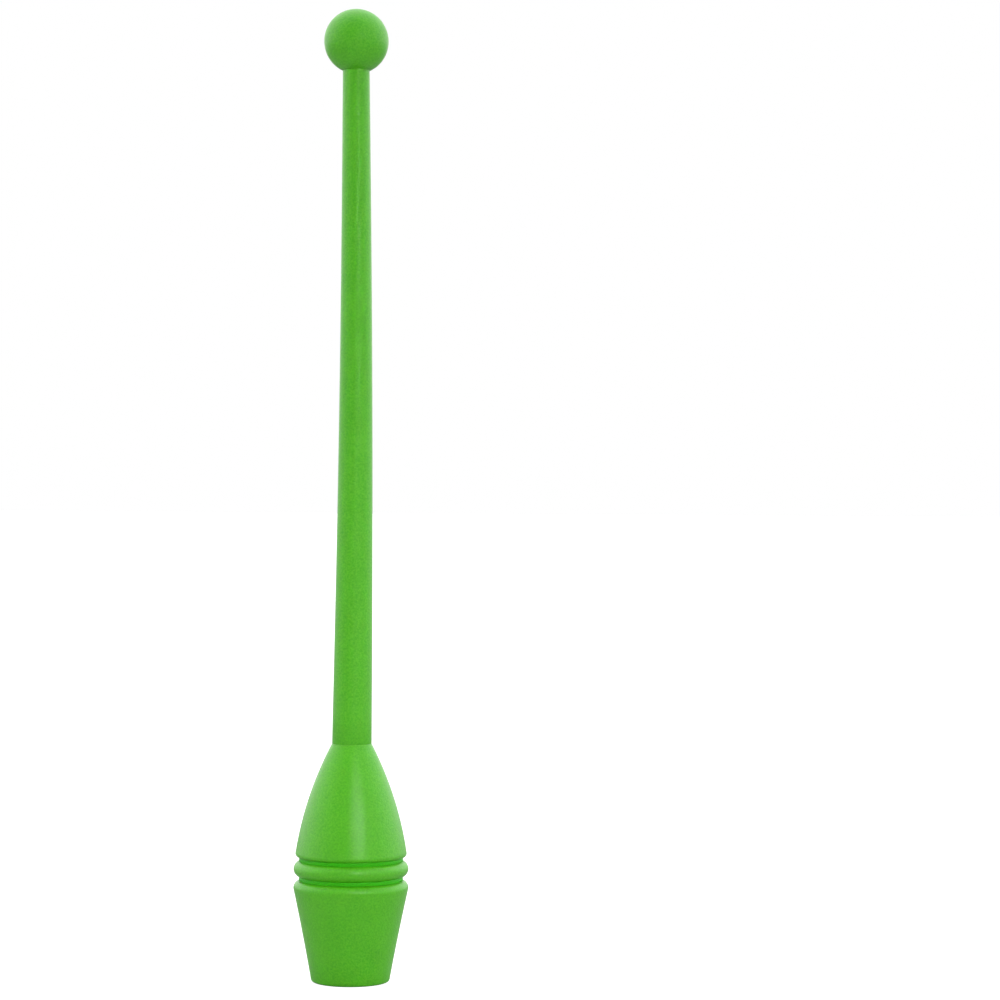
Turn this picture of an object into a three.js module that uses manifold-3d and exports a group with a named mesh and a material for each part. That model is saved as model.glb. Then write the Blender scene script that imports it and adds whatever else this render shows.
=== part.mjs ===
// A hand club for rhythmic gymnastics: a ball head, a long tapered neck and a bell-shaped body with a ring
// between two grooves. A core rod runs through it, and one screw in the base clamps the whole stack.
//
// Millimetres, +Z up. The origin is the centre of the flat base, and the club's axis is Z.

import * as THREE from "three";
import { mergeVertices } from "three/addons/utils/BufferGeometryUtils.js";
import Module from "manifold-3d";

// ---- Outside sizes -------------------------------------------------------------------------------------

const LENGTH = 410; // base to the top of the head
const HEAD_DIAMETER = 27.2;
const NECK_TOP_DIAMETER = 11.4; // where the neck enters the head
const NECK_FOOT_DIAMETER = 16.7; // where the neck meets the body
const BODY_HEIGHT = 100.3; // base to the foot of the neck
const BODY_DIAMETER = 47.4; // of the upper body's rim, before its edge is rounded
const BELLY_BULGE = 2.15; // how far the upper body's side swells off a straight line
const BELLY_EDGE = 1.6; // rounding of the upper body's rim
const BASE_DIAMETER = 32.8; // of the lower body at the base, before its edge is rounded
const BASE_EDGE = 1.5; // rounding of the base
const CUP_PROUD = 1.25; // how far the lower body's rim is wider than the upper body's, on the radius
const CUP_EDGE = 3; // rounding of the lower body's rim
const CUP_HOLLOW = 0.23; // how far the lower body's side falls inside a straight line

// ---- Ring and grooves ----------------------------------------------------------------------------------

const RING_HEIGHT = 47.6; // base to the middle of the ring
const RING_WIDTH = 6.4;
const RING_PROUD = 0.5; // how far the ring stands out past the upper body's rim, on the radius
const RING_SWELL = 2.2; // how far the ring's face swells between its edges
const RING_SEAT_DEPTH = 0.5; // how deep the ring sits in the joiner
const GROOVE_WIDTH = 1.7;
const GROOVE_DEPTH = 1.8; // from the upper body's rim to the groove's floor

// ---- Walls and fits ------------------------------------------------------------------------------------

const SHELL_WALL = 2.2; // of the upper and lower body
const SLIP = 0.1; // radial clearance between pieces that slide into each other
const SEAT = 0.1; // gap left between two faces that bear on each other
const LAP_LENGTH = 6; // how far the joiner reaches into each half of the body
const LAP_STEP = 0.9; // from the groove's floor in to the lap
const JOINER_WALL = 2;

// ---- Neck, rod and head --------------------------------------------------------------------------------

const ROD_DIAMETER = 7;
const SPIGOT_LENGTH = 15; // of the neck's lower end, inside the body
const SPIGOT_WALL = 1.5;
const COLLAR_WALL = 2.2; // of the upper body's tube round the spigot
const COLLAR_STOP = 2; // thickness of the lip at the bottom of that tube
const BUSH_LENGTH = 10; // of the bush that centres the rod, inside the spigot
const BUSH_WALL = 1.3;
const BUSH_FLANGE = 1.5;
const NECK_INSERTION = 1.5; // how far the neck's top end goes into the head
const FERRULE_WALL = 1.1;
const HEAD_FERRULE_LENGTH = 15;
const FERRULE_CAP = 1.4; // thickness of the head ferrule's closed end
const BARB_HEIGHT = 0.4;
const BARB_COUNT = 4;

// ---- Base fixing ---------------------------------------------------------------------------------------

const FLOOR_THICKNESS = 3;
const POCKET_ROOM = 2; // round the washer, in the pocket under the floor
const POCKET_WALL = 2;
const WEB_THICKNESS = 3; // that the screw's head bears on
const BOSS_WALL = 2; // of the boss that holds the foot ferrule
const BOSS_RISE = 2; // how far the boss stands above the foot ferrule
const SCREW_DIAMETER = 4;
const SCREW_LENGTH = 12;
const SCREW_HEAD_DIAMETER = 7.6;
const SCREW_HEAD_HEIGHT = 2.4;
const SCREW_SOCKET_WIDTH = 2.5; // hexagon socket, across the flats
const SCREW_SOCKET_DEPTH = 1.4;
const SCREW_CHAMFER = 0.4;
const SCREW_TIP_ROOM = 2; // between the screw's tip and the rod
const SCREW_HOLE_CLEARANCE = 0.25;
const WASHER_DIAMETER = 10;
const WASHER_THICKNESS = 0.8;
const FOOT_SOCKET_DEPTH = 12; // of the foot ferrule's socket for the rod
const PLUG_THICKNESS = 1.6;
const PLUG_RECESS = 0.4; // how far the plug sits inside the base
const PLUG_ROOM = 1.6; // between the plug and the screw's head
const PLUG_SKIRT_LENGTH = 1.2;
const PLUG_SKIRT_WALL = 1.2;

// ---- Balance weight ------------------------------------------------------------------------------------

const WEIGHT_DIAMETER = 24;
const WEIGHT_LENGTH = 14.5;
const WEIGHT_CHAMFER = 0.8;
const BUFFER_DIAMETER = 18;
const BUFFER_THICKNESS = 3;
const SPACER_WALL = 1.6;

// ---- How finely round shapes are drawn -----------------------------------------------------------------

const SHELL_SEGMENTS = 40; // round the pieces that make up the outside
const CORE_SEGMENTS = 24; // round the smaller pieces inside
const SIDE_STEPS = 6; // along the long curve of each body half
const EDGE_STEPS = 3; // round a rounded edge
const BALL_STEPS = 14;
const BEAD_STEPS = 6;
const HEXAGON = 6;

// ---- Sizes and heights that follow ---------------------------------------------------------------------

const rodRadius = ROD_DIAMETER / 2;
const rodBore = rodRadius + SLIP;
const ferruleRadius = rodBore + FERRULE_WALL;

const bodyRadius = BODY_DIAMETER / 2;
const grooveFloor = bodyRadius - GROOVE_DEPTH;
const lapRadius = grooveFloor - LAP_STEP;
const cupRadius = bodyRadius + CUP_PROUD;
const ringBottom = RING_HEIGHT - RING_WIDTH / 2;
const ringTop = RING_HEIGHT + RING_WIDTH / 2;
const cupRim = ringBottom - GROOVE_WIDTH;
const bellyRim = ringTop + GROOVE_WIDTH;

const headRadius = HEAD_DIAMETER / 2;
const headCentre = LENGTH - headRadius;
const neckTopRadius = NECK_TOP_DIAMETER / 2;
const neckFootRadius = NECK_FOOT_DIAMETER / 2;
const headSocketRadius = neckTopRadius + SLIP;
const headMouth = headCentre - Math.sqrt(headRadius ** 2 - headSocketRadius ** 2);
const neckTop = headMouth + NECK_INSERTION;
const ferruleTop = neckTop + SEAT + HEAD_FERRULE_LENGTH;

const neckBore = rodBore + SLIP; // at the neck's top end
const spigotBore = rodBore + BUSH_WALL + SLIP;
const spigotRadius = spigotBore + SPIGOT_WALL;
const spigotEnd = BODY_HEIGHT - SPIGOT_LENGTH;
const collarBore = spigotRadius + SLIP;
const collarRadius = collarBore + COLLAR_WALL;
const bushFlangeBottom = spigotEnd - SEAT - BUSH_FLANGE;
const collarStopTop = bushFlangeBottom - SEAT;
const collarBottom = collarStopTop - COLLAR_STOP;

const screwHeadBottom = PLUG_RECESS + PLUG_THICKNESS + PLUG_ROOM;
const screwSeat = screwHeadBottom + SCREW_HEAD_HEIGHT;
const screwTip = screwSeat + SCREW_LENGTH;
const washerBottom = screwSeat + SEAT;
const pocketTop = washerBottom + WASHER_THICKNESS + SEAT;
const pocketRadius = WASHER_DIAMETER / 2 + POCKET_ROOM;
const screwHole = SCREW_DIAMETER / 2 + SCREW_HOLE_CLEARANCE;
const webTop = pocketTop + WEB_THICKNESS;
const footFerruleBottom = webTop + SEAT;
const rodBottom = screwTip + SCREW_TIP_ROOM;
const rodTop = ferruleTop - FERRULE_CAP - SEAT;
const footFerruleTop = rodBottom + FOOT_SOCKET_DEPTH;
const bossBore = ferruleRadius + SLIP;
const bossTop = footFerruleTop + BOSS_RISE;

const lowerBufferBottom = bossTop + SEAT;
const weightBottom = lowerBufferBottom + BUFFER_THICKNESS + SEAT;
const upperBufferBottom = weightBottom + WEIGHT_LENGTH + SEAT;
const spacerBottom = upperBufferBottom + BUFFER_THICKNESS + SEAT;
const spacerTop = collarBottom - SEAT;

// ---- Outlines ------------------------------------------------------------------------------------------

const at = (radius, height) => new THREE.Vector2(radius, height);

// A long shallow arc between two points of an outline. A positive bulge swells away from the axis.
class SideArc {
  constructor(low, high, bulge) {
    const chord = low.distanceTo(high);
    const outward = at(high.y - low.y, low.x - high.x).divideScalar(chord);
    const radius = chord ** 2 / (8 * bulge) + bulge / 2; // negative when the side is hollow
    this.centre = low.clone().add(high).multiplyScalar(0.5);
    this.centre.addScaledVector(outward, bulge - radius);
    this.radius = radius;
  }

  // The side's radius at a height, or that of a surface a wall's thickness inside it.
  radiusAt(height, wall = 0) {
    const bend = this.radius - wall;
    return this.centre.x + Math.sign(bend) * Math.sqrt(bend ** 2 - (height - this.centre.y) ** 2);
  }

  // The height at which a side that narrows upwards has a given radius.
  heightAt(radius, wall = 0) {
    const bend = this.radius - wall;
    return this.centre.y + Math.sqrt(bend ** 2 - (radius - this.centre.x) ** 2);
  }

  points(from, to, steps, wall = 0) {
    const heights = Array.from({ length: steps + 1 }, (_, i) => from + ((to - from) * i) / steps);
    return heights.map((height) => at(this.radiusAt(height, wall), height));
  }
}

// An arc between two points of an outline that have the same radius, swelling outwards at the middle.
function bead(low, high, swell, steps) {
  const half = low.distanceTo(high) / 2;
  const radius = (half ** 2 + swell ** 2) / (2 * swell);
  const reach = Math.asin(half / radius);
  const centre = at(low.x + swell - radius, (low.y + high.y) / 2);
  return Array.from({ length: steps + 1 }, (_, i) => {
    const angle = -reach + (2 * reach * i) / steps;
    return at(centre.x + radius * Math.cos(angle), centre.y + radius * Math.sin(angle));
  });
}

// The corner of an outline rounded off: its two neighbours give the directions that it is tangent to.
function rounded(before, corner, after, radius, steps = EDGE_STEPS) {
  const inward = before.clone().sub(corner).normalize();
  const outward = after.clone().sub(corner).normalize();
  const half = Math.acos(inward.dot(outward)) / 2;
  const bisector = inward.clone().add(outward).normalize();
  const centre = corner.clone().addScaledVector(bisector, radius / Math.sin(half));
  const start = corner.clone().addScaledVector(inward, radius / Math.tan(half)).sub(centre);
  const end = corner.clone().addScaledVector(outward, radius / Math.tan(half)).sub(centre);
  const sweep = Math.atan2(start.cross(end), start.dot(end));
  return Array.from({ length: steps + 1 }, (_, i) =>
    start.clone().rotateAround(at(0, 0), (sweep * i) / steps).add(centre),
  );
}

// A solid of revolution about Z. An outline that doesn't start and end on the axis closes on itself.
function turned(outline, segments) {
  const onAxis = outline[0].x === 0 && outline.at(-1).x === 0;
  const loop = onAxis ? outline : [...outline, outline[0]];
  return new THREE.LatheGeometry(loop, segments).rotateX(Math.PI / 2);
}

// A plain tube or washer.
const tube = (inner, outer, bottom, top) =>
  turned([at(inner, bottom), at(outer, bottom), at(outer, top), at(inner, top)], CORE_SEGMENTS);

// A closed mesh as a solid that can be cut, and back again.
const wasm = await Module();
wasm.setup();

function solidOf(geometry) {
  const bare = geometry.clone();
  bare.deleteAttribute("normal");
  bare.deleteAttribute("uv");
  const merged = mergeVertices(bare);
  const vertProperties = merged.attributes.position.array;
  const triVerts = Uint32Array.from(merged.index.array);
  return new wasm.Manifold(new wasm.Mesh({ numProp: 3, vertProperties, triVerts }));
}

function geometryOf(solid) {
  const { vertProperties, triVerts } = solid.getMesh();
  const geometry = new THREE.BufferGeometry();
  geometry.setAttribute("position", new THREE.BufferAttribute(vertProperties, 3));
  geometry.setIndex(new THREE.BufferAttribute(triVerts, 1));
  geometry.computeVertexNormals();
  return geometry;
}

// ---- Materials -----------------------------------------------------------------------------------------

const finish = (color, roughness, metalness = 0) =>
  new THREE.MeshStandardMaterial({ color, roughness, metalness });

const GREEN_PLASTIC = finish("#4fb02c", 0.42);
const GREEN_RUBBER = finish("#4bad2a", 0.5);
const NATURAL_NYLON = finish("#ddd9c8", 0.5);
const BLACK_RUBBER = finish("#1d1e1f", 0.8);
const ALUMINIUM = finish("#b9bcc0", 0.35, 1);
const ZINC_STEEL = finish("#a9adb2", 0.3, 1);
const TURNED_STEEL = finish("#83868a", 0.32, 1);

const club = new THREE.Group();

function add(name, geometry, material) {
  const mesh = new THREE.Mesh(geometry, material);
  mesh.name = name;
  club.add(mesh);
}

// ---- Head ----------------------------------------------------------------------------------------------

// The ball, with a counterbore for the neck's end and a blind socket for the ferrule.
function headBall() {
  const socketRadius = ferruleRadius + BARB_HEIGHT + SLIP;
  const socketTop = ferruleTop + SEAT;
  const mouthAngle = Math.asin((headMouth - headCentre) / headRadius);
  const skin = Array.from({ length: BALL_STEPS + 1 }, (_, i) => {
    const angle = mouthAngle + ((Math.PI / 2 - mouthAngle) * i) / BALL_STEPS;
    return at(headRadius * Math.cos(angle), headCentre + headRadius * Math.sin(angle));
  });
  skin[BALL_STEPS].x = 0;
  return turned(
    [
      at(0, socketTop),
      at(socketRadius, socketTop),
      at(socketRadius, neckTop + SEAT),
      at(headSocketRadius, neckTop + SEAT),
      ...skin,
    ],
    SHELL_SEGMENTS,
  );
}

// The barbed cap bonded to the rod's tip, which the ball is pressed onto.
function headFerrule() {
  const bottom = neckTop + SEAT;
  const crest = ferruleRadius + BARB_HEIGHT;
  const pitch = HEAD_FERRULE_LENGTH / (BARB_COUNT + 1);
  const barbs = Array.from({ length: BARB_COUNT }, (_, i) => bottom + pitch * (i + 0.5)).flatMap((foot) => [
    at(ferruleRadius, foot),
    at(crest, foot),
    at(ferruleRadius, foot + pitch * 0.8),
  ]);
  return turned(
    [
      at(0, ferruleTop - FERRULE_CAP),
      at(rodBore, ferruleTop - FERRULE_CAP),
      at(rodBore, bottom),
      at(ferruleRadius, bottom),
      ...barbs,
      at(ferruleRadius, ferruleTop),
      at(0, ferruleTop),
    ],
    CORE_SEGMENTS,
  );
}

add("head_ball", headBall(), GREEN_PLASTIC);
add("head_ferrule", headFerrule(), ALUMINIUM);

// ---- Neck ----------------------------------------------------------------------------------------------

// A tapered tube that stands on the body with a spigot inside it. The bore tapers with the outside.
function neckSleeve() {
  return turned(
    [
      at(spigotBore, spigotEnd),
      at(spigotRadius, spigotEnd),
      at(spigotRadius, BODY_HEIGHT + SEAT),
      at(neckFootRadius, BODY_HEIGHT + SEAT),
      at(neckTopRadius, headMouth),
      at(neckTopRadius, neckTop),
      at(neckBore, neckTop),
    ],
    SHELL_SEGMENTS,
  );
}

// Centres the rod in the spigot. Its flange is trapped between the spigot's end and the collar's lip.
function neckBush() {
  const taper = (spigotBore - neckBore) / (neckTop - spigotEnd);
  const sleeveRadius = spigotBore - SLIP - taper * BUSH_LENGTH;
  return turned(
    [
      at(rodBore, bushFlangeBottom),
      at(spigotRadius, bushFlangeBottom),
      at(spigotRadius, bushFlangeBottom + BUSH_FLANGE),
      at(sleeveRadius, bushFlangeBottom + BUSH_FLANGE),
      at(sleeveRadius, spigotEnd + BUSH_LENGTH),
      at(rodBore, spigotEnd + BUSH_LENGTH),
    ],
    CORE_SEGMENTS,
  );
}

add("neck_sleeve", neckSleeve(), GREEN_PLASTIC);
add("neck_bush", neckBush(), NATURAL_NYLON);
add("core_rod", tube(0, rodRadius, rodBottom, rodTop), NATURAL_NYLON);

// ---- Body ----------------------------------------------------------------------------------------------

const bellySide = new SideArc(at(bodyRadius, bellyRim), at(neckFootRadius, BODY_HEIGHT), BELLY_BULGE);
const cupSide = new SideArc(at(BASE_DIAMETER / 2, 0), at(cupRadius, cupRim), -CUP_HOLLOW);

// The bell: a swelling side, a lap at the rim, and a collar inside that takes the neck's spigot.
function upperBody() {
  const lapTop = bellyRim + LAP_LENGTH + SEAT;
  const lapBore = lapRadius + SLIP;
  const edgeTop = bellyRim + 2 * BELLY_EDGE;
  const edge = rounded(
    at(lapBore, bellyRim),
    at(bodyRadius, bellyRim),
    at(bellySide.radiusAt(edgeTop), edgeTop),
    BELLY_EDGE,
  );
  return turned(
    [
      at(lapBore, bellyRim),
      ...edge,
      ...bellySide.points(edgeTop, BODY_HEIGHT, SIDE_STEPS),
      at(collarBore, BODY_HEIGHT),
      at(collarBore, collarStopTop),
      at(rodBore + SLIP, collarStopTop),
      at(rodBore + SLIP, collarBottom),
      at(collarRadius, collarBottom),
      ...bellySide.points(bellySide.heightAt(collarRadius, SHELL_WALL), lapTop, SIDE_STEPS, SHELL_WALL),
      at(lapBore, lapTop),
    ],
    SHELL_SEGMENTS,
  );
}

// The sleeve that joins the two halves. Its middle shows as the floor of both grooves and carries the ring.
function bodyJoiner() {
  const bore = lapRadius - JOINER_WALL;
  const seatRadius = grooveFloor - RING_SEAT_DEPTH;
  const flangeBottom = cupRim + SEAT;
  const flangeTop = bellyRim - SEAT;
  return turned(
    [
      at(bore, cupRim - LAP_LENGTH),
      at(lapRadius, cupRim - LAP_LENGTH),
      at(lapRadius, flangeBottom),
      at(grooveFloor, flangeBottom),
      at(grooveFloor, ringBottom - SEAT),
      at(seatRadius, ringBottom - SEAT),
      at(seatRadius, ringTop + SEAT),
      at(grooveFloor, ringTop + SEAT),
      at(grooveFloor, flangeTop),
      at(lapRadius, flangeTop),
      at(lapRadius, bellyRim + LAP_LENGTH),
      at(bore, bellyRim + LAP_LENGTH),
    ],
    SHELL_SEGMENTS,
  );
}

// The soft ring, stretched into its seat on the joiner.
function bumperRing() {
  const bore = grooveFloor - RING_SEAT_DEPTH + SLIP;
  const edge = bodyRadius + RING_PROUD - RING_SWELL;
  const face = bead(at(edge, ringBottom), at(edge, ringTop), RING_SWELL, BEAD_STEPS);
  return turned([at(bore, ringBottom), ...face, at(bore, ringTop)], SHELL_SEGMENTS);
}

// The cup: a tapered side on a floor, with a boss for the rod's foot and a pocket under it for the screw.
function lowerBody() {
  const lapBottom = cupRim - LAP_LENGTH - SEAT;
  const lapBore = lapRadius + SLIP;
  const pocketBoss = pocketRadius + POCKET_WALL;
  const sideBottom = 2 * BASE_EDGE;
  const sideTop = cupRim - 2 * CUP_EDGE;
  const baseEdge = rounded(
    at(pocketRadius, 0),
    at(BASE_DIAMETER / 2, 0),
    at(cupSide.radiusAt(sideBottom), sideBottom),
    BASE_EDGE,
  );
  const rimEdge = rounded(
    at(cupSide.radiusAt(sideTop), sideTop),
    at(cupRadius, cupRim),
    at(lapBore, cupRim),
    CUP_EDGE,
    2 * EDGE_STEPS,
  );
  return turned(
    [
      at(pocketRadius, 0),
      ...baseEdge,
      ...cupSide.points(sideBottom, sideTop, SIDE_STEPS / 2),
      ...rimEdge,
      at(lapBore, cupRim),
      at(lapBore, lapBottom),
      ...cupSide.points(lapBottom, FLOOR_THICKNESS, SIDE_STEPS / 2, SHELL_WALL),
      at(pocketBoss, FLOOR_THICKNESS),
      at(pocketBoss, webTop),
      at(bossBore + BOSS_WALL, webTop),
      at(bossBore + BOSS_WALL, bossTop),
      at(bossBore, bossTop),
      at(bossBore, webTop),
      at(screwHole, webTop),
      at(screwHole, pocketTop),
      at(pocketRadius, pocketTop),
    ],
    SHELL_SEGMENTS,
  );
}

add("upper_body", upperBody(), GREEN_PLASTIC);
add("body_joiner", bodyJoiner(), GREEN_PLASTIC);
add("bumper_ring", bumperRing(), GREEN_RUBBER);
add("lower_body", lowerBody(), GREEN_PLASTIC);

// ---- Base fixing ---------------------------------------------------------------------------------------

// Bonded to the rod's foot, and tapped for the screw.
function footFerrule() {
  const tappedBore = SCREW_DIAMETER / 2 + SLIP;
  const socketFloor = rodBottom - SEAT;
  return turned(
    [
      at(tappedBore, footFerruleBottom),
      at(ferruleRadius, footFerruleBottom),
      at(ferruleRadius, footFerruleTop),
      at(rodBore, footFerruleTop),
      at(rodBore, socketFloor),
      at(tappedBore, socketFloor),
    ],
    CORE_SEGMENTS,
  );
}

// A cap screw, head down, with its hexagon socket facing the pocket's mouth.
function baseScrew() {
  const shankRadius = SCREW_DIAMETER / 2;
  const blank = turned(
    [
      at(0, screwHeadBottom),
      at(SCREW_HEAD_DIAMETER / 2 - SCREW_CHAMFER, screwHeadBottom),
      at(SCREW_HEAD_DIAMETER / 2, screwHeadBottom + SCREW_CHAMFER),
      at(SCREW_HEAD_DIAMETER / 2, screwSeat),
      at(shankRadius, screwSeat),
      at(shankRadius, screwTip - SCREW_CHAMFER),
      at(shankRadius - SCREW_CHAMFER, screwTip),
      at(0, screwTip),
    ],
    CORE_SEGMENTS,
  );
  const cornerRadius = SCREW_SOCKET_WIDTH / 2 / Math.cos(Math.PI / HEXAGON);
  const depth = 2 * SCREW_SOCKET_DEPTH; // centred on the head's face, so that half of it cuts
  const socket = new THREE.CylinderGeometry(cornerRadius, cornerRadius, depth, HEXAGON);
  socket.rotateX(Math.PI / 2);
  socket.translate(0, 0, screwHeadBottom);
  return geometryOf(solidOf(blank).subtract(solidOf(socket)));
}

// The plug's face, with a short skirt that grips the pocket.
function basePlug() {
  const radius = pocketRadius - SLIP;
  const face = PLUG_RECESS + PLUG_THICKNESS;
  return turned(
    [
      at(0, PLUG_RECESS),
      at(radius, PLUG_RECESS),
      at(radius, face + PLUG_SKIRT_LENGTH),
      at(radius - PLUG_SKIRT_WALL, face + PLUG_SKIRT_LENGTH),
      at(radius - PLUG_SKIRT_WALL, face),
      at(0, face),
    ],
    CORE_SEGMENTS,
  );
}

add("foot_ferrule", footFerrule(), ALUMINIUM);
add("base_screw", baseScrew(), ZINC_STEEL);
add(
  "screw_washer",
  tube(screwHole, WASHER_DIAMETER / 2, washerBottom, washerBottom + WASHER_THICKNESS),
  ZINC_STEEL,
);
add("base_plug", basePlug(), GREEN_RUBBER);

// ---- Balance weight ------------------------------------------------------------------------------------

function balanceWeight() {
  const radius = WEIGHT_DIAMETER / 2;
  const top = weightBottom + WEIGHT_LENGTH;
  return turned(
    [
      at(rodBore, weightBottom),
      at(radius - WEIGHT_CHAMFER, weightBottom),
      at(radius, weightBottom + WEIGHT_CHAMFER),
      at(radius, top - WEIGHT_CHAMFER),
      at(radius - WEIGHT_CHAMFER, top),
      at(rodBore, top),
    ],
    CORE_SEGMENTS,
  );
}

const buffer = (bottom) => tube(rodBore, BUFFER_DIAMETER / 2, bottom, bottom + BUFFER_THICKNESS);

add("lower_buffer", buffer(lowerBufferBottom), BLACK_RUBBER);
add("balance_weight", balanceWeight(), TURNED_STEEL);
add("upper_buffer", buffer(upperBufferBottom), BLACK_RUBBER);
add("spacer_tube", tube(rodBore, rodBore + SPACER_WALL, spacerBottom, spacerTop), NATURAL_NYLON);

export default club;
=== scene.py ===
"""The looks of a hand club for rhythmic gymnastics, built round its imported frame.

The club is a stack of moulded green shells on a nylon rod, with a steel weight inside and one screw in the
base. Lengths are in metres: a size in millimetres is written as a number times MM. Nodes give the heights and
outer radii, and the sizes below are those that a node's box doesn't show.
"""

import math

import bmesh
import bpy
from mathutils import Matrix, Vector


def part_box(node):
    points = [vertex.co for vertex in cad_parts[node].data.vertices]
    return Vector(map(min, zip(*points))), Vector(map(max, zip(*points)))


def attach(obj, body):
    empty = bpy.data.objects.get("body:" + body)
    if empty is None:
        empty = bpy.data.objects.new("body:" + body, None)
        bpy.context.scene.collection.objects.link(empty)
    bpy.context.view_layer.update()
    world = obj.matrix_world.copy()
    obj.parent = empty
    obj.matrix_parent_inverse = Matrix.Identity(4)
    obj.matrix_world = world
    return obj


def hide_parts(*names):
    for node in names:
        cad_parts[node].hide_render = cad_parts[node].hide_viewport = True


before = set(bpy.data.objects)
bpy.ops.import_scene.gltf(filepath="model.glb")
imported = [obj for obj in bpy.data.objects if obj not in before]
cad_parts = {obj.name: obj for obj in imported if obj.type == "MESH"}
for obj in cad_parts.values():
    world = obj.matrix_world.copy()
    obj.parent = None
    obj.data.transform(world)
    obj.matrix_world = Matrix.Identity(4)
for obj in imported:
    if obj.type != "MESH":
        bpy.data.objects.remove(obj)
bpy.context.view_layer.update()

MM = 0.001

# ---- Outside -------------------------------------------------------------------------------------------

BELLY_RIM = 23.7 * MM  # radius of the upper body at its rim, before the edge is rounded
BELLY_BULGE = 2.15 * MM  # how far its side swells off a straight line
BELLY_EDGE = 1.6 * MM
CUP_RIM = 24.95 * MM  # radius of the lower body at its rim, before the edge is rounded
CUP_HOLLOW = 0.23 * MM  # how far its side falls inside a straight line
CUP_EDGE = 3 * MM
BASE_RADIUS = 16.4 * MM
BASE_EDGE = 1.5 * MM
RING_SWELL = 2.2 * MM
NECK_BOW = 0.75 * MM  # how far the middle of the neck has set to one side
RING_SEAT_DEPTH = 0.5 * MM

# ---- Walls and fits ------------------------------------------------------------------------------------

SLIP = 0.1 * MM  # radial clearance between pieces that slide into each other
SEAT = 0.1 * MM  # gap between two faces that bear on each other
TIGHT = 0.01 * MM  # and between two that are squeezed together where it shows
SHELL_WALL = 2.2 * MM
FLOOR_THICKNESS = 3 * MM
LAP_STEP = 0.9 * MM
JOINER_WALL = 2 * MM
COLLAR_WALL = 2.2 * MM
COLLAR_STOP = 2 * MM
BUSH_WALL = 1.3 * MM
BUSH_FLANGE = 1.5 * MM
BUSH_LENGTH = 10 * MM
FERRULE_CAP = 1.4 * MM
BARB_HEIGHT = 0.4 * MM
BARB_COUNT = 4

# ---- Base fixing and weight ----------------------------------------------------------------------------

POCKET_ROOM = 2 * MM
POCKET_WALL = 2 * MM
WEB_THICKNESS = 3 * MM
BOSS_WALL = 2 * MM
SCREW_RADIUS = 2 * MM
SCREW_PITCH = 0.7 * MM
SCREW_HEAD_HEIGHT = 2.4 * MM
SCREW_HOLE_CLEARANCE = 0.25 * MM
SCREW_CHAMFER = 0.4 * MM
HEXAGON_FLATS = 2.5 * MM
HEXAGON_DEPTH = 1.4 * MM
FOOT_SOCKET_DEPTH = 12 * MM
PLUG_THICKNESS = 1.6 * MM
PLUG_SKIRT_WALL = 1.2 * MM
WEIGHT_CHAMFER = 0.8 * MM
THREAD_FOOT = 0.5 * MM  # width of the thread's ridge where it stands on the shank
THREAD_CREST = 0.1 * MM  # and along its crest
THREAD_DEPTH = 0.4 * MM
THREAD_TURNS = 15  # on the screw
TAPPED_TURNS = 12  # in the foot ferrule
WASHER_ROLL = 0.25 * MM  # what the punch rounds off on one side
BUFFER_SWELL = 0.3 * MM  # how far the squeezed sides of a buffer stand out
PLUG_RIB = 0.15 * MM
GATE_RADIUS = 1.2 * MM  # the dimple that the mould's gate leaves in the plug
GATE_DEPTH = 0.25 * MM

# ---- How finely the pieces are drawn -------------------------------------------------------------------

SHELL_SEGMENTS = 192
CORE_SEGMENTS = 96
CHORD = 0.6 * MM  # longest step along an arc of an outline
SMALL_TURN = math.radians(6)  # and the most that one step turns
MOULD_BREAK = 0.15 * MM  # the least radius that a mould leaves on an edge
TOOL_BREAK = 0.1 * MM  # and that a turning tool leaves
SHARP = math.radians(30)
THREAD_STEPS = 48  # in one turn of the thread
NECK_RING = 12 * MM  # length of neck between two rings of its mesh
TINY = 0.0001 * MM


# ---- Turned pieces -------------------------------------------------------------------------------------


class Side:
    """The long shallow arc of a body half, between two points of its outline."""

    def __init__(self, low, high, bulge):
        chord = Vector(high) - Vector(low)
        outward = Vector((chord.y, -chord.x)).normalized()
        self.bend = chord.length_squared / (8 * bulge) + bulge / 2  # below zero when the side is hollow
        self.centre = (Vector(low) + Vector(high)) / 2 + outward * (bulge - self.bend)

    def radius_at(self, height, wall=0.0):
        bend = self.bend - wall
        return self.centre.x + math.copysign(math.sqrt(bend**2 - (height - self.centre.y) ** 2), bend)

    def height_at(self, radius, wall=0.0):
        bend = self.bend - wall
        return self.centre.y + math.sqrt(bend**2 - (radius - self.centre.x) ** 2)

    def rounding(self, face, size, inward):
        """Where a rounded edge meets a flat face of the piece, and where it meets this side."""
        height = face + size * inward
        centre = Vector((self.radius_at(height, size), height))
        side = self.centre + (centre - self.centre) * self.bend / (self.bend - size)
        return (centre.x, face), tuple(side)


def line_to(bm, pen, target):
    end = bm.verts.new(target)
    bm.edges.new((pen, end))
    return end


def arc_to(bm, pen, target, bend):
    """Spins a vertex to a target along an arc of radius bend, which swells to the right as it goes."""
    chord = target - pen.co
    left = Vector((-chord.z, 0, chord.x)).normalized()
    reach = math.sqrt(max(0, bend**2 - chord.length_squared / 4))
    centre = (pen.co + target) / 2 + left * math.copysign(reach, bend)
    turn = 2 * math.asin(max(-1, min(1, chord.length / (2 * bend))))
    steps = max(2, math.ceil(abs(turn) / SMALL_TURN), math.ceil(chord.length / CHORD))
    spun = bmesh.ops.spin(bm, geom=[pen], cent=centre, axis=(0, -1, 0), angle=turn, steps=steps)
    return spun["geom_last"][0]


def sharp_edges(bm):
    return [edge for edge in bm.edges if edge.is_manifold and edge.calc_face_angle() > SHARP]


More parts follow.
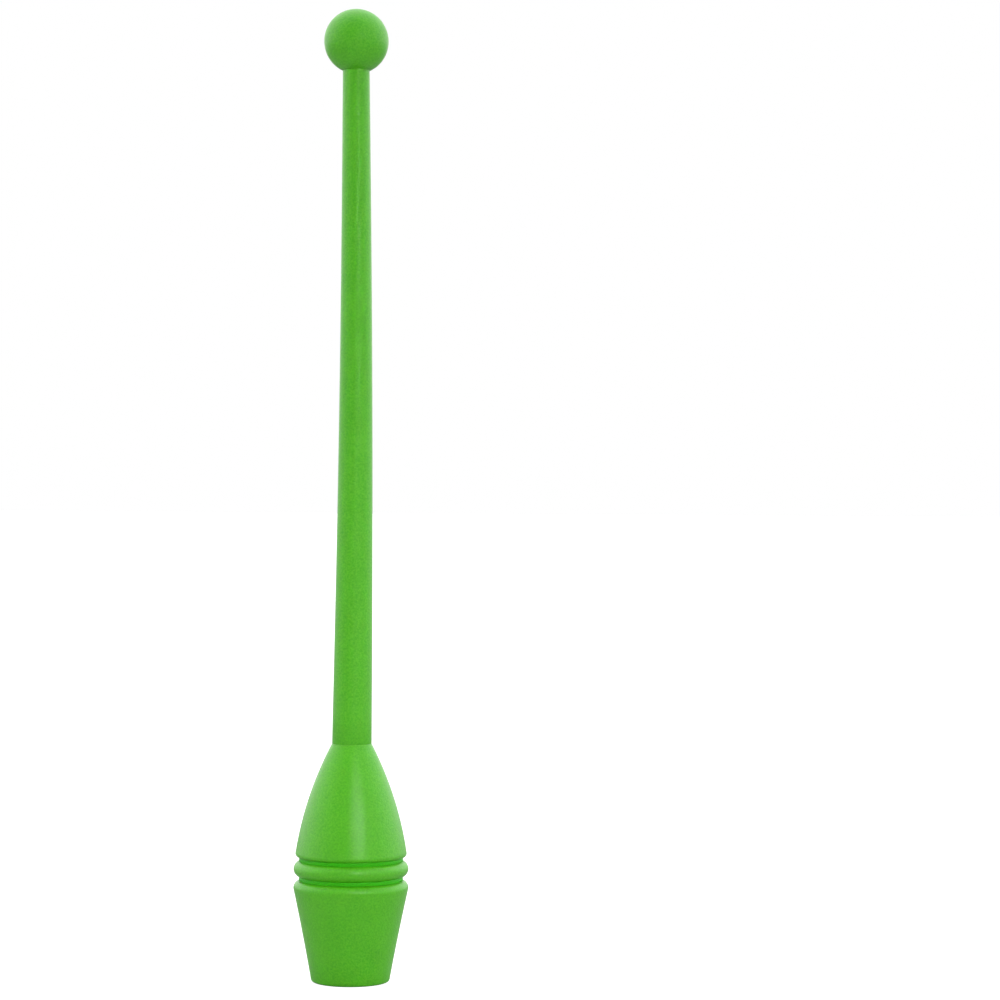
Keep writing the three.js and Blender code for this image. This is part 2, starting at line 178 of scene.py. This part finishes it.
def spin_round(bm, segments):
    bmesh.ops.spin(
        bm, geom=bm.verts[:] + bm.edges[:], cent=(0, 0, 0), axis=(0, 0, 1),
        angle=2 * math.pi, steps=segments, use_merge=True,
    )
    bmesh.ops.remove_doubles(bm, verts=bm.verts, dist=TINY)
    bmesh.ops.dissolve_degenerate(bm, edges=bm.edges, dist=TINY)


def turned(outline, segments, edge_break):
    """Spins an outline about Z, and closes it unless it ends on the axis. Each point is a radius and a
    height, and then, where an arc leads to it, the radius of that arc."""
    bm = bmesh.new()
    start = bm.verts.new((outline[0][0], 0, outline[0][1]))
    pen = start
    for radius, height, *bend in outline[1:]:
        target = Vector((radius, 0, height))
        pen = arc_to(bm, pen, target, bend[0]) if bend else line_to(bm, pen, target)
    if start.co.x > 0 and pen.co.x > 0:
        bm.edges.new((pen, start))
    spin_round(bm, segments)
    bmesh.ops.bevel(
        bm, geom=sharp_edges(bm), offset=edge_break, offset_type="OFFSET", affect="EDGES",
        segments=2, profile=0.5, material=-1, clamp_overlap=True,
    )
    return bm


def wind_thread(bm, root, crest, start, turns):
    """Winds the ridge of a screw thread round Z, right-handed, from a height on the +X side."""
    profile = [
        bm.verts.new((root, 0, start - THREAD_FOOT / 2)),
        bm.verts.new((crest, 0, start - THREAD_CREST / 2)),
        bm.verts.new((crest, 0, start + THREAD_CREST / 2)),
        bm.verts.new((root, 0, start + THREAD_FOOT / 2)),
    ]
    face = bm.faces.new(profile)
    bmesh.ops.spin(
        bm, geom=[face, *face.edges, *face.verts], cent=(0, 0, 0), axis=(0, 0, 1),
        dvec=(0, 0, SCREW_PITCH / THREAD_STEPS), angle=2 * math.pi * turns, steps=THREAD_STEPS * turns,
    )


def finish(bm, name, node, material):
    """Makes the mesh an object that stands for its node and rides with the club."""
    bmesh.ops.recalc_face_normals(bm, faces=bm.faces)
    for face in bm.faces:
        face.smooth = True
    for edge in sharp_edges(bm):
        edge.smooth = False
    mesh = bpy.data.meshes.new(name)
    bm.to_mesh(mesh)
    bm.free()
    mesh.materials.append(material)
    piece = bpy.data.objects.new(name, mesh)
    bpy.context.scene.collection.objects.link(piece)
    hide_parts(node)
    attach(piece, "root")


def extent(node):
    """A turned node's outer radius, and its lowest and highest points."""
    low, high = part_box(node)
    return high.x, low.z, high.z


# ---- Materials -----------------------------------------------------------------------------------------


def linear(colour):
    """An sRGB hex colour as linear RGBA."""
    channels = [int(colour[i : i + 2], 16) / 255 for i in (1, 3, 5)]
    return [c / 12.92 if c <= 0.04045 else ((c + 0.055) / 1.055) ** 2.4 for c in channels] + [1.0]


def add(tree, kind, inputs=None, **settings):
    """Adds a node with its settings, and gives each named input a value or a link."""
    made = tree.nodes.new(kind)
    for name, value in settings.items():
        setattr(made, name, value)
    for name, value in (inputs or {}).items():
        if isinstance(value, bpy.types.NodeSocket):
            tree.links.new(value, made.inputs[name])
        else:
            made.inputs[name].default_value = value
    return made


def new_material(name):
    material = bpy.data.materials.new(name)
    material.use_nodes = True
    material.node_tree.nodes.clear()
    return material, material.node_tree


def mix_colours(tree, factor, a, b):
    return add(tree, "ShaderNodeMix", {"Factor": factor, 6: a, 7: b}, data_type="RGBA").outputs[2]


def moulded_green(name, deep, pale, roughness, gloss=0.5):
    """Polyethylene or soft PVC from a spark-eroded mould. The eye gets an even, saturated green with slight
    flow clouding, a satin bloom and a fine grain, and the light wanders a little under its skin."""
    material, tree = new_material(name)
    place = add(tree, "ShaderNodeTexCoord").outputs["Object"]
    clouds = add(
        tree, "ShaderNodeTexNoise", {"Vector": place, "Scale": 1 / (9 * MM), "Detail": 3.0, "Roughness": 0.5}
    ).outputs["Fac"]
    # The mould's grain is about 0.1 mm. It is drawn several times coarser, so that it shows.
    grain = add(
        tree, "ShaderNodeTexNoise",
        {"Vector": place, "Scale": 1 / (0.75 * MM), "Detail": 2.0, "Roughness": 0.6},
    ).outputs["Fac"]
    mottle = add(tree, "ShaderNodeMix", {"Factor": 0.85, "A": clouds, "B": grain}).outputs["Result"]
    spread = add(
        tree, "ShaderNodeMapRange", {"Value": mottle, "From Min": 0.35, "From Max": 0.65}
    ).outputs["Result"]
    colour = mix_colours(tree, spread, linear(deep), linear(pale))
    shine = add(
        tree, "ShaderNodeMapRange", {"Value": grain, "To Min": roughness - 0.04, "To Max": roughness + 0.04}
    )
    skin = add(tree, "ShaderNodeBump", {"Height": grain, "Strength": 1.0, "Distance": 0.12 * MM})
    surface = add(
        tree, "ShaderNodeBsdfPrincipled",
        {
            "Base Color": colour,
            "Roughness": shine.outputs["Result"],
            "Normal": skin.outputs["Normal"],
            "IOR": 1.5,
            "Specular IOR Level": gloss,
            "Subsurface Weight": 0.5,
            "Subsurface Radius": (0.4, 1.0, 0.25),
            "Subsurface Scale": 2 * MM,
        },
    )
    add(tree, "ShaderNodeOutputMaterial", {"Surface": surface.outputs["BSDF"]})
    return material


def feed_marks(tree, place, pitch):
    """The rings a turning tool leaves: they depend on height and on the distance from the axis alone."""
    flat = add(tree, "ShaderNodeVectorMath", {0: place, 1: (1, 1, 0)}, operation="MULTIPLY").outputs["Vector"]
    distance = add(tree, "ShaderNodeVectorMath", {0: flat}, operation="LENGTH").outputs["Value"]
    height = add(tree, "ShaderNodeSeparateXYZ", {"Vector": place}).outputs["Z"]
    along = add(tree, "ShaderNodeMath", {0: distance, 1: height}, operation="ADD").outputs["Value"]
    return add(
        tree, "ShaderNodeTexNoise", {"W": along, "Scale": 1 / pitch, "Detail": 2.0, "Roughness": 0.6},
        noise_dimensions="1D",
    ).outputs["Fac"]


def turned_metal(name, bright, dull, roughness, pitch):
    """Bar turned on a lathe. The eye gets fine bright rings round the piece, and soft dull patches where
    hands and oil have been."""
    material, tree = new_material(name)
    place = add(tree, "ShaderNodeTexCoord").outputs["Object"]
    patches = add(
        tree, "ShaderNodeTexNoise", {"Vector": place, "Scale": 1 / (5 * MM), "Detail": 4.0, "Roughness": 0.6}
    ).outputs["Fac"]
    rings = feed_marks(tree, place, pitch)
    shine = add(
        tree, "ShaderNodeMapRange", {"Value": patches, "To Min": roughness - 0.08, "To Max": roughness + 0.12}
    ).outputs["Result"]
    cut = add(tree, "ShaderNodeBump", {"Height": rings, "Strength": 0.4, "Distance": 0.02 * MM})
    surface = add(
        tree, "ShaderNodeBsdfPrincipled",
        {
            "Base Color": mix_colours(tree, patches, linear(bright), linear(dull)),
            "Metallic": 1.0,
            "Roughness": shine,
            "Anisotropic": 0.4,
            "Normal": cut.outputs["Normal"],
        },
    )
    add(tree, "ShaderNodeOutputMaterial", {"Surface": surface.outputs["BSDF"]})
    return material


def zinc_plated():
    """Carbon steel with a bright zinc plate and a clear blue passivation. The eye gets a cool silver that
    clouds from blue to straw, with a fine crystal grain under the gloss."""
    material, tree = new_material("zinc_plated_steel")
    place = add(tree, "ShaderNodeTexCoord").outputs["Object"]
    clouds = add(
        tree, "ShaderNodeTexNoise",
        {"Vector": place, "Scale": 1 / (2.5 * MM), "Detail": 3.0, "Roughness": 0.5},
    ).outputs["Fac"]
    # The crystals are a few microns across. They are drawn at a fifth of a millimetre, so that they show.
    crystals = add(
        tree, "ShaderNodeTexVoronoi", {"Vector": place, "Scale": 1 / (0.2 * MM)}, feature="F1"
    ).outputs["Distance"]
    skin = add(tree, "ShaderNodeBump", {"Height": crystals, "Strength": 0.25, "Distance": 0.01 * MM})
    shine = add(tree, "ShaderNodeMapRange", {"Value": clouds, "To Min": 0.22, "To Max": 0.38})
    surface = add(
        tree, "ShaderNodeBsdfPrincipled",
        {
            "Base Color": mix_colours(tree, clouds, linear("#a9b4c0"), linear("#c0bda9")),
            "Metallic": 1.0,
            "Roughness": shine.outputs["Result"],
            "Normal": skin.outputs["Normal"],
        },
    )
    add(tree, "ShaderNodeOutputMaterial", {"Surface": surface.outputs["BSDF"]})
    return material


def natural_nylon():
    """Undyed nylon, extruded and then turned. The eye gets a milky ivory that lets light a little way in,
    waxy and faintly ringed."""
    material, tree = new_material("natural_nylon")
    place = add(tree, "ShaderNodeTexCoord").outputs["Object"]
    milk = add(
        tree, "ShaderNodeTexNoise", {"Vector": place, "Scale": 1 / (6 * MM), "Detail": 3.0, "Roughness": 0.5}
    ).outputs["Fac"]
    rings = feed_marks(tree, place, 0.25 * MM)
    cut = add(tree, "ShaderNodeBump", {"Height": rings, "Strength": 0.3, "Distance": 0.02 * MM})
    shine = add(tree, "ShaderNodeMapRange", {"Value": milk, "To Min": 0.38, "To Max": 0.5})
    surface = add(
        tree, "ShaderNodeBsdfPrincipled",
        {
            "Base Color": mix_colours(tree, milk, linear("#e0dbc6"), linear("#e9e5d6")),
            "Roughness": shine.outputs["Result"],
            "Normal": cut.outputs["Normal"],
            "IOR": 1.53,
            "Subsurface Weight": 0.4,
            "Subsurface Radius": (1.0, 0.9, 0.7),
            "Subsurface Scale": 1.5 * MM,
        },
    )
    add(tree, "ShaderNodeOutputMaterial", {"Surface": surface.outputs["BSDF"]})
    return material


def sponge_rubber():
    """Closed-cell neoprene sponge, cut from sheet. The eye gets a soft black with no gloss, pitted where the
    knife opened the cells, and painted darker towards the middle of each pit as shade."""
    material, tree = new_material("black_sponge_neoprene")
    place = add(tree, "ShaderNodeTexCoord").outputs["Object"]
    cells = add(
        tree, "ShaderNodeTexVoronoi", {"Vector": place, "Scale": 1 / (0.4 * MM)}, feature="SMOOTH_F1"
    ).outputs["Distance"]
    pits = add(tree, "ShaderNodeBump", {"Height": cells, "Strength": 0.7, "Distance": 0.1 * MM})
    shine = add(tree, "ShaderNodeMapRange", {"Value": cells, "To Min": 0.7, "To Max": 0.92})
    # Painted shade: the black is darker towards the middle of each cell's pit, where the bump sinks it.
    surface = add(
        tree, "ShaderNodeBsdfPrincipled",
        {
            "Base Color": mix_colours(tree, cells, linear("#141516"), linear("#2a2b2c")),
            "Roughness": shine.outputs["Result"],
            "Normal": pits.outputs["Normal"],
            "IOR": 1.52,
        },
    )
    add(tree, "ShaderNodeOutputMaterial", {"Surface": surface.outputs["BSDF"]})
    return material


green_plastic = moulded_green("moulded_green_polyethylene", "#4aaf0b", "#60c11f", 0.36)
green_rubber = moulded_green("moulded_green_soft_pvc", "#4aaf0b", "#60c11f", 0.38)
# What shows of the joiner is a purer green than the shells, with almost no bloom on it. This is painted
# shade: it stands in for the shade and the lost reflections deep in the grooves.
joiner_painted_shade_green = moulded_green("moulded_green_painted_groove_shade", "#38b40a", "#41c011", 0.5, 0.2)
nylon = natural_nylon()
aluminium = turned_metal("turned_aluminium", "#c6c8cb", "#b2b4b7", 0.32, 0.15 * MM)
zinc = zinc_plated()
steel = turned_metal("turned_steel", "#8f9194", "#76787b", 0.34, 0.2 * MM)
black_rubber = sponge_rubber()

# ---- Head ----------------------------------------------------------------------------------------------

rod_radius, rod_bottom, rod_top = extent("core_rod")
rod_bore = rod_radius + SLIP
neck_foot_radius, neck_bottom, neck_top = extent("neck_sleeve")
head_radius, head_mouth, head_top = extent("head_ball")
head_ferrule_radius, head_ferrule_bottom, head_ferrule_top = extent("head_ferrule")
head_centre = head_top - head_radius
mouth_radius = math.sqrt(head_radius**2 - (head_centre - head_mouth) ** 2)


def head_ball():
    socket = head_ferrule_radius + SLIP
    outline = [
        (0, head_ferrule_top + SEAT),
        (socket, head_ferrule_top + SEAT),
        (socket, head_ferrule_bottom),
        (mouth_radius, head_ferrule_bottom),
        (mouth_radius, head_mouth),
        (head_radius, head_centre, head_radius),
        (0, head_top, head_radius),
    ]
    return turned(outline, SHELL_SEGMENTS, MOULD_BREAK)


def head_ferrule():
    """The cap bonded to the rod's tip, with the barbs that hold the ball."""
    root = head_ferrule_radius - BARB_HEIGHT
    pitch = (head_ferrule_top - head_ferrule_bottom) / (BARB_COUNT + 1)
    outline = [
        (0, head_ferrule_top - FERRULE_CAP),
        (rod_bore, head_ferrule_top - FERRULE_CAP),
        (rod_bore, head_ferrule_bottom),
        (root, head_ferrule_bottom),
    ]
    for barb in range(BARB_COUNT):
        foot = head_ferrule_bottom + pitch * (barb + 0.5)
        outline += [(root, foot), (head_ferrule_radius, foot), (root, foot + pitch * 0.8)]
    outline += [(root, head_ferrule_top), (0, head_ferrule_top)]
    return turned(outline, CORE_SEGMENTS, TOOL_BREAK)


finish(head_ball(), "head", "head_ball", green_rubber)
finish(head_ferrule(), "barbed_cap", "head_ferrule", aluminium)

# ---- Neck ----------------------------------------------------------------------------------------------

body_top = extent("upper_body")[2]
spigot_radius, bush_bottom, bush_top = extent("neck_bush")
spigot_bore = rod_bore + BUSH_WALL + SLIP
neck_bore = rod_bore + SLIP


def bowed(bm):
    """Gives a long straight piece rings to bend at, and the slight bow that the neck has set with."""
    long_edges = [edge for edge in bm.edges if edge.calc_length() > 10 * NECK_RING]
    bmesh.ops.subdivide_edges(
        bm, edges=long_edges, cuts=round((head_mouth - body_top) / NECK_RING), use_grid_fill=True
    )
    for vert in bm.verts:
        along = (vert.co.z - body_top) / (head_mouth - body_top)
        if 0 < along < 1:
            vert.co.x += NECK_BOW * math.sin(math.pi * along)
    return bm


def neck_sleeve():
    outline = [
        (spigot_bore, neck_bottom),
        (spigot_radius, neck_bottom),
        (spigot_radius, body_top + TIGHT),
        (neck_foot_radius, body_top + TIGHT),
        (mouth_radius - SLIP, head_mouth),
        (mouth_radius - SLIP, neck_top),
        (neck_bore, neck_top),
    ]
    return bowed(turned(outline, SHELL_SEGMENTS, MOULD_BREAK))


def neck_bush():
    """Centres the rod in the neck's foot, on a flange that the collar traps."""
    taper = (spigot_bore - neck_bore) / (neck_top - neck_bottom)
    sleeve = spigot_bore - SLIP - taper * BUSH_LENGTH
    outline = [
        (rod_bore, bush_bottom),
        (spigot_radius, bush_bottom),
        (spigot_radius, bush_bottom + BUSH_FLANGE),
        (sleeve, bush_bottom + BUSH_FLANGE),
        (sleeve, bush_top),
        (rod_bore, bush_top),
    ]
    return turned(outline, CORE_SEGMENTS, TOOL_BREAK)


def core_rod():
    outline = [(0, rod_bottom), (rod_radius, rod_bottom), (rod_radius, rod_top), (0, rod_top)]
    return bowed(turned(outline, CORE_SEGMENTS, TOOL_BREAK))


finish(neck_sleeve(), "neck", "neck_sleeve", green_plastic)
finish(neck_bush(), "flanged_bush", "neck_bush", nylon)
finish(core_rod(), "rod", "core_rod", nylon)

# ---- Body ----------------------------------------------------------------------------------------------

belly_face = extent("upper_body")[1]
cup_face = extent("lower_body")[2]
groove_floor, joiner_bottom, joiner_top = extent("body_joiner")
ring_radius, ring_bottom, ring_top = extent("bumper_ring")
lap_radius = groove_floor - LAP_STEP
lap_bore = lap_radius + SLIP
seat_radius = groove_floor - RING_SEAT_DEPTH
belly = Side((BELLY_RIM, belly_face), (neck_foot_radius, body_top), BELLY_BULGE)
cup = Side((BASE_RADIUS, 0), (CUP_RIM, cup_face), -CUP_HOLLOW)


def upper_body():
    """The bell, with a collar inside that takes the neck's spigot."""
    collar_bore = spigot_radius + SLIP
    collar_radius = collar_bore + COLLAR_WALL
    stop_top = bush_bottom - SEAT
    stop_bottom = stop_top - COLLAR_STOP
    lap_top = joiner_top + SEAT
    rim, flank = belly.rounding(belly_face, BELLY_EDGE, 1)
    outline = [
        (lap_bore, belly_face),
        rim,
        (*flank, BELLY_EDGE),
        (neck_foot_radius, body_top, belly.bend),
        (collar_bore, body_top),
        (collar_bore, stop_top),
        (neck_bore, stop_top),
        (neck_bore, stop_bottom),
        (collar_radius, stop_bottom),
        (collar_radius, belly.height_at(collar_radius, SHELL_WALL)),
        (belly.radius_at(lap_top, SHELL_WALL), lap_top, SHELL_WALL - belly.bend),
        (lap_bore, lap_top),
    ]
    return turned(outline, SHELL_SEGMENTS, MOULD_BREAK)


def body_joiner():
    """The sleeve inside both halves. Its middle is the floor of the grooves, and the ring sits in it."""
    bore = lap_radius - JOINER_WALL
    outline = [
        (bore, joiner_bottom),
        (lap_radius, joiner_bottom),
        (lap_radius, cup_face + TIGHT),
        (groove_floor, cup_face + TIGHT),
        (groove_floor, ring_bottom - TIGHT),
        (seat_radius, ring_bottom - TIGHT),
        (seat_radius, ring_top + TIGHT),
        (groove_floor, ring_top + TIGHT),
        (groove_floor, belly_face - TIGHT),
        (lap_radius, belly_face - TIGHT),
        (lap_radius, joiner_top),
        (bore, joiner_top),
    ]
    return turned(outline, SHELL_SEGMENTS, MOULD_BREAK)


def bumper_ring():
    edge = ring_radius - RING_SWELL
    half = (ring_top - ring_bottom) / 2
    face = (half**2 + RING_SWELL**2) / (2 * RING_SWELL)
    outline = [
        (seat_radius + SLIP, ring_bottom),
        (edge, ring_bottom),
        (edge, ring_top, face),
        (seat_radius + SLIP, ring_top),
    ]
    return turned(outline, SHELL_SEGMENTS, MOULD_BREAK)


washer_radius, washer_bottom, washer_top = extent("screw_washer")
foot_ferrule_radius, foot_ferrule_bottom, foot_ferrule_top = extent("foot_ferrule")
pocket_radius = washer_radius + POCKET_ROOM
pocket_top = washer_top + SEAT
screw_hole = SCREW_RADIUS + SCREW_HOLE_CLEARANCE


def lower_body():
    """The cup, with a boss for the rod's foot and a pocket under it for the screw."""
    web_top = pocket_top + WEB_THICKNESS
    boss_bore = foot_ferrule_radius + SLIP
    boss_top = extent("lower_buffer")[1] - SEAT
    lap_bottom = joiner_bottom - SEAT
    pocket_boss = pocket_radius + POCKET_WALL
    base, base_flank = cup.rounding(0, BASE_EDGE, 1)
    rim, rim_flank = cup.rounding(cup_face, CUP_EDGE, -1)
    outline = [
        (pocket_radius, 0),
        base,
        (*base_flank, BASE_EDGE),
        (*rim_flank, cup.bend),
        (*rim, CUP_EDGE),
        (lap_bore, cup_face),
        (lap_bore, lap_bottom),
        (cup.radius_at(lap_bottom, SHELL_WALL), lap_bottom),
        (cup.radius_at(FLOOR_THICKNESS, SHELL_WALL), FLOOR_THICKNESS, SHELL_WALL - cup.bend),
        (pocket_boss, FLOOR_THICKNESS),
        (pocket_boss, web_top),
        (boss_bore + BOSS_WALL, web_top),
        (boss_bore + BOSS_WALL, boss_top),
        (boss_bore, boss_top),
        (boss_bore, web_top),
        (screw_hole, web_top),
        (screw_hole, pocket_top),
        (pocket_radius, pocket_top),
    ]
    return turned(outline, SHELL_SEGMENTS, MOULD_BREAK)


finish(upper_body(), "belly", "upper_body", green_plastic)
# The joiner wears the green that is painted shade for the floor of the grooves.
finish(body_joiner(), "joiner", "body_joiner", joiner_painted_shade_green)
finish(bumper_ring(), "ring", "bumper_ring", green_rubber)
finish(lower_body(), "cup", "lower_body", green_plastic)

# ---- Base fixing ---------------------------------------------------------------------------------------

screw_head_radius, screw_bottom, screw_tip = extent("base_screw")
screw_seat = screw_bottom + SCREW_HEAD_HEIGHT
shank_core = SCREW_RADIUS - THREAD_DEPTH
thread_start = screw_seat + 1.5 * SCREW_PITCH
tapped_radius = SCREW_RADIUS + SLIP
plug_radius, plug_bottom, plug_top = extent("base_plug")


def foot_ferrule():
    """The tapped cup that is bonded to the rod's foot. Its thread lies halfway between the screw's turns."""
    lead = 0.4 * MM
    socket_floor = foot_ferrule_top - FOOT_SOCKET_DEPTH - SEAT
    outline = [
        (tapped_radius + lead, foot_ferrule_bottom),
        (foot_ferrule_radius - lead, foot_ferrule_bottom),
        (foot_ferrule_radius, foot_ferrule_bottom + lead),
        (foot_ferrule_radius, foot_ferrule_top),
        (rod_bore, foot_ferrule_top),
        (rod_bore, socket_floor),
        (tapped_radius, socket_floor),
        (tapped_radius, foot_ferrule_bottom + lead),
    ]
    bm = turned(outline, CORE_SEGMENTS, TOOL_BREAK)
    skipped = math.ceil((foot_ferrule_bottom + lead - thread_start) / SCREW_PITCH)
    first_turn = thread_start + (skipped + 0.5) * SCREW_PITCH
    wind_thread(bm, tapped_radius + SLIP / 2, tapped_radius - THREAD_DEPTH, first_turn, TAPPED_TURNS)
    return bm


def grow_rim(bm, rim):
    """Extrudes an open rim in place, and returns the new rim's edges and vertices."""
    grown = bmesh.ops.extrude_edge_only(bm, edges=rim)["geom"]
    edges = [item for item in grown if isinstance(item, bmesh.types.BMEdge) and item.is_boundary]
    return edges, [item for item in grown if isinstance(item, bmesh.types.BMVert)]


def base_screw():
    """A cap screw, head down, with a hexagon socket and a wound thread."""
    mouth = HEXAGON_FLATS / math.sqrt(3) + SLIP
    outline = [
        (mouth, screw_bottom),
        (screw_head_radius - SCREW_CHAMFER, screw_bottom),
        (screw_head_radius, screw_bottom + SCREW_CHAMFER),
        (screw_head_radius, screw_seat),
        (shank_core, screw_seat),
        (shank_core, screw_tip - SCREW_CHAMFER),
        (shank_core - SCREW_CHAMFER, screw_tip),
        (0, screw_tip),
    ]
    bm = turned(outline, CORE_SEGMENTS, TOOL_BREAK)
    rim = [edge for edge in bm.edges if edge.is_boundary]
    hexagon, corners = grow_rim(bm, rim)
    for vert in corners:
        turn = math.atan2(vert.co.y, vert.co.x) % (math.pi / 3) - math.pi / 6
        vert.co.xy = vert.co.xy.normalized() * HEXAGON_FLATS / 2 / math.cos(turn)
    floor_rim, floor_verts = grow_rim(bm, hexagon)
    bmesh.ops.translate(bm, verts=floor_verts, vec=(0, 0, HEXAGON_DEPTH))
    bmesh.ops.contextual_create(bm, geom=floor_rim)
    wind_thread(bm, shank_core - SLIP / 2, SCREW_RADIUS, thread_start, THREAD_TURNS)
    return bm


def screw_washer():
    """Punched from sheet, so one side has rolled edges."""
    outline = [
        (screw_hole, washer_bottom),
        (washer_radius, washer_bottom),
        (washer_radius, washer_top - WASHER_ROLL),
        (washer_radius - WASHER_ROLL, washer_top, WASHER_ROLL),
        (screw_hole + WASHER_ROLL, washer_top),
        (screw_hole, washer_top - WASHER_ROLL, WASHER_ROLL),
    ]
    return turned(outline, CORE_SEGMENTS, TOOL_BREAK / 2)


def base_plug():
    """The plug's face, and its skirt with two ribs that grip the pocket."""
    inner_face = plug_bottom + PLUG_THICKNESS
    skirt = plug_radius - PLUG_RIB
    rib = (plug_top - plug_bottom) / 5
    outline = [
        (0, plug_bottom + GATE_DEPTH),
        (GATE_RADIUS, plug_bottom, -(GATE_RADIUS**2 + GATE_DEPTH**2) / (2 * GATE_DEPTH)),
        (plug_radius - PLUG_RIB, plug_bottom),
        (plug_radius, plug_bottom + PLUG_RIB, PLUG_RIB),
        (plug_radius, plug_bottom + rib),
        (skirt, plug_bottom + rib * 1.5),
        (skirt, plug_bottom + rib * 3),
        (plug_radius, plug_bottom + rib * 3.5),
        (plug_radius, plug_bottom + rib * 4),
        (skirt, plug_top),
        (plug_radius - PLUG_SKIRT_WALL, plug_top),
        (plug_radius - PLUG_SKIRT_WALL, inner_face),
        (0, inner_face),
    ]
    return turned(outline, CORE_SEGMENTS, MOULD_BREAK / 2)


finish(foot_ferrule(), "tapped_foot", "foot_ferrule", aluminium)
finish(base_screw(), "cap_screw", "base_screw", zinc)
finish(screw_washer(), "washer", "screw_washer", zinc)
finish(base_plug(), "plug", "base_plug", green_rubber)

# ---- Balance weight ------------------------------------------------------------------------------------


def buffer(node):
    """A sponge washer, squeezed until its sides swell."""
    radius, bottom, top = extent(node)
    edge = radius - BUFFER_SWELL
    half = (top - bottom) / 2
    swell = (half**2 + BUFFER_SWELL**2) / (2 * BUFFER_SWELL)
    outline = [(rod_bore, bottom), (edge, bottom), (edge, top, swell), (rod_bore, top)]
    return turned(outline, CORE_SEGMENTS, TOOL_BREAK)


def balance_weight():
    radius, bottom, top = extent("balance_weight")
    bore_chamfer = WEIGHT_CHAMFER / 2
    outline = [
        (rod_bore + bore_chamfer, bottom),
        (radius - WEIGHT_CHAMFER, bottom),
        (radius, bottom + WEIGHT_CHAMFER),
        (radius, top - WEIGHT_CHAMFER),
        (radius - WEIGHT_CHAMFER, top),
        (rod_bore + bore_chamfer, top),
        (rod_bore, top - bore_chamfer),
        (rod_bore, bottom + bore_chamfer),
    ]
    return turned(outline, CORE_SEGMENTS, TOOL_BREAK)


def spacer_tube():
    radius, bottom, top = extent("spacer_tube")
    lead = 0.3 * MM
    outline = [
        (rod_bore + lead, bottom),
        (radius, bottom),
        (radius, top),
        (rod_bore + lead, top),
        (rod_bore, top - lead),
        (rod_bore, bottom + lead),
    ]
    return turned(outline, CORE_SEGMENTS, TOOL_BREAK)


finish(buffer("lower_buffer"), "sponge_washer_low", "lower_buffer", black_rubber)
finish(balance_weight(), "weight", "balance_weight", steel)
finish(buffer("upper_buffer"), "sponge_washer_high", "upper_buffer", black_rubber)
finish(spacer_tube(), "spacer", "spacer_tube", nylon)

# ---- Floor, light and camera ---------------------------------------------------------------------------

FRONT = (0, -0.97, 0.24)  # out of the club and towards the dark end of the studio
SIDE_LIGHT = 1.62  # radiance of the white walls and ceiling, as light
FRONT_LIGHT = 0.12  # and of the dark end
FLOOR_GLOW = 0.9  # added to the floor where the camera sees it, and nowhere else


def seen(tree, unseen, shown):
    """Gives unseen as light and in reflections, and shown where the camera looks straight at it."""
    ray = add(tree, "ShaderNodeLightPath").outputs["Is Camera Ray"]
    return add(tree, "ShaderNodeMix", {"Factor": ray, "A": unseen, "B": shown}).outputs["Result"]


def add_world():
    """A white tent that is open, and so darker, on the camera's side."""
    world = bpy.data.worlds.new("white_tent")
    world.use_nodes = True
    tree = world.node_tree
    tree.nodes.clear()
    way = add(tree, "ShaderNodeTexCoord").outputs["Generated"]
    facing = add(tree, "ShaderNodeVectorMath", {0: way, 1: FRONT}, operation="DOT_PRODUCT").outputs["Value"]
    tent = add(
        tree, "ShaderNodeMapRange",
        {"Value": facing, "From Min": -0.1, "From Max": 1.0, "To Min": SIDE_LIGHT, "To Max": FRONT_LIGHT},
    ).outputs["Result"]
    glow = add(
        tree, "ShaderNodeBackground", {"Color": linear("#ffffff"), "Strength": seen(tree, tent, 1.0)}
    )
    add(tree, "ShaderNodeOutputWorld", {"Surface": glow.outputs["Background"]})
    bpy.context.scene.world = world


def add_floor():
    """Grey paper as wide as the horizon, with a glow that makes it white where the camera sees it."""
    material, tree = new_material("white_paper")
    surface = add(
        tree, "ShaderNodeBsdfPrincipled",
        {
            "Base Color": linear("#a8a8a8"),
            "Roughness": 0.9,
            "Specular IOR Level": 0.1,
            "Emission Color": linear("#ffffff"),
            "Emission Strength": seen(tree, 0.0, FLOOR_GLOW),
        },
    )
    add(tree, "ShaderNodeOutputMaterial", {"Surface": surface.outputs["BSDF"]})
    bm = bmesh.new()
    bmesh.ops.create_circle(bm, cap_ends=True, segments=64, radius=40)
    mesh = bpy.data.meshes.new("floor")
    bm.to_mesh(mesh)
    bm.free()
    mesh.materials.append(material)
    floor = bpy.data.objects.new("floor", mesh)
    bpy.context.scene.collection.objects.link(floor)


def add_lamp(name, place, target, size, watts, spread, glossy=True):
    """A softbox. One that isn't glossy lights the club without showing in its gloss."""
    data = bpy.data.lights.new(name, "AREA")
    data.shape = "RECTANGLE"
    data.size, data.size_y = size
    data.energy = watts
    data.spread = spread
    lamp = bpy.data.objects.new(name, data)
    lamp.location = place
    lamp.rotation_euler = (Vector(target) - Vector(place)).to_track_quat("-Z", "Y").to_euler()
    lamp.visible_camera = False
    lamp.visible_glossy = glossy
    bpy.context.scene.collection.objects.link(lamp)


def add_camera():
    data = bpy.data.cameras.new("camera")
    data.lens = 106.7
    data.sensor_width = 36
    camera = bpy.data.objects.new("camera", data)
    camera.location = (61.8 * MM, -1250 * MM, 203.4 * MM)
    camera.rotation_euler = (math.radians(90), math.radians(-0.377), 0)
    bpy.context.scene.collection.objects.link(camera)
    bpy.context.scene.camera = camera


add_floor()
add_world()
add_lamp("key", (0.684, -1.88, 0.92), (0, 0, 0.075), (0.4, 0.5), 0.23, math.radians(20))
add_lamp("fill", (0, -2.0, 0.6), (0, 0, 0.2), (3.0, 1.6), 17.5, math.radians(180), glossy=False)
add_camera()
bpy.context.scene.view_settings.view_transform = "Standard"
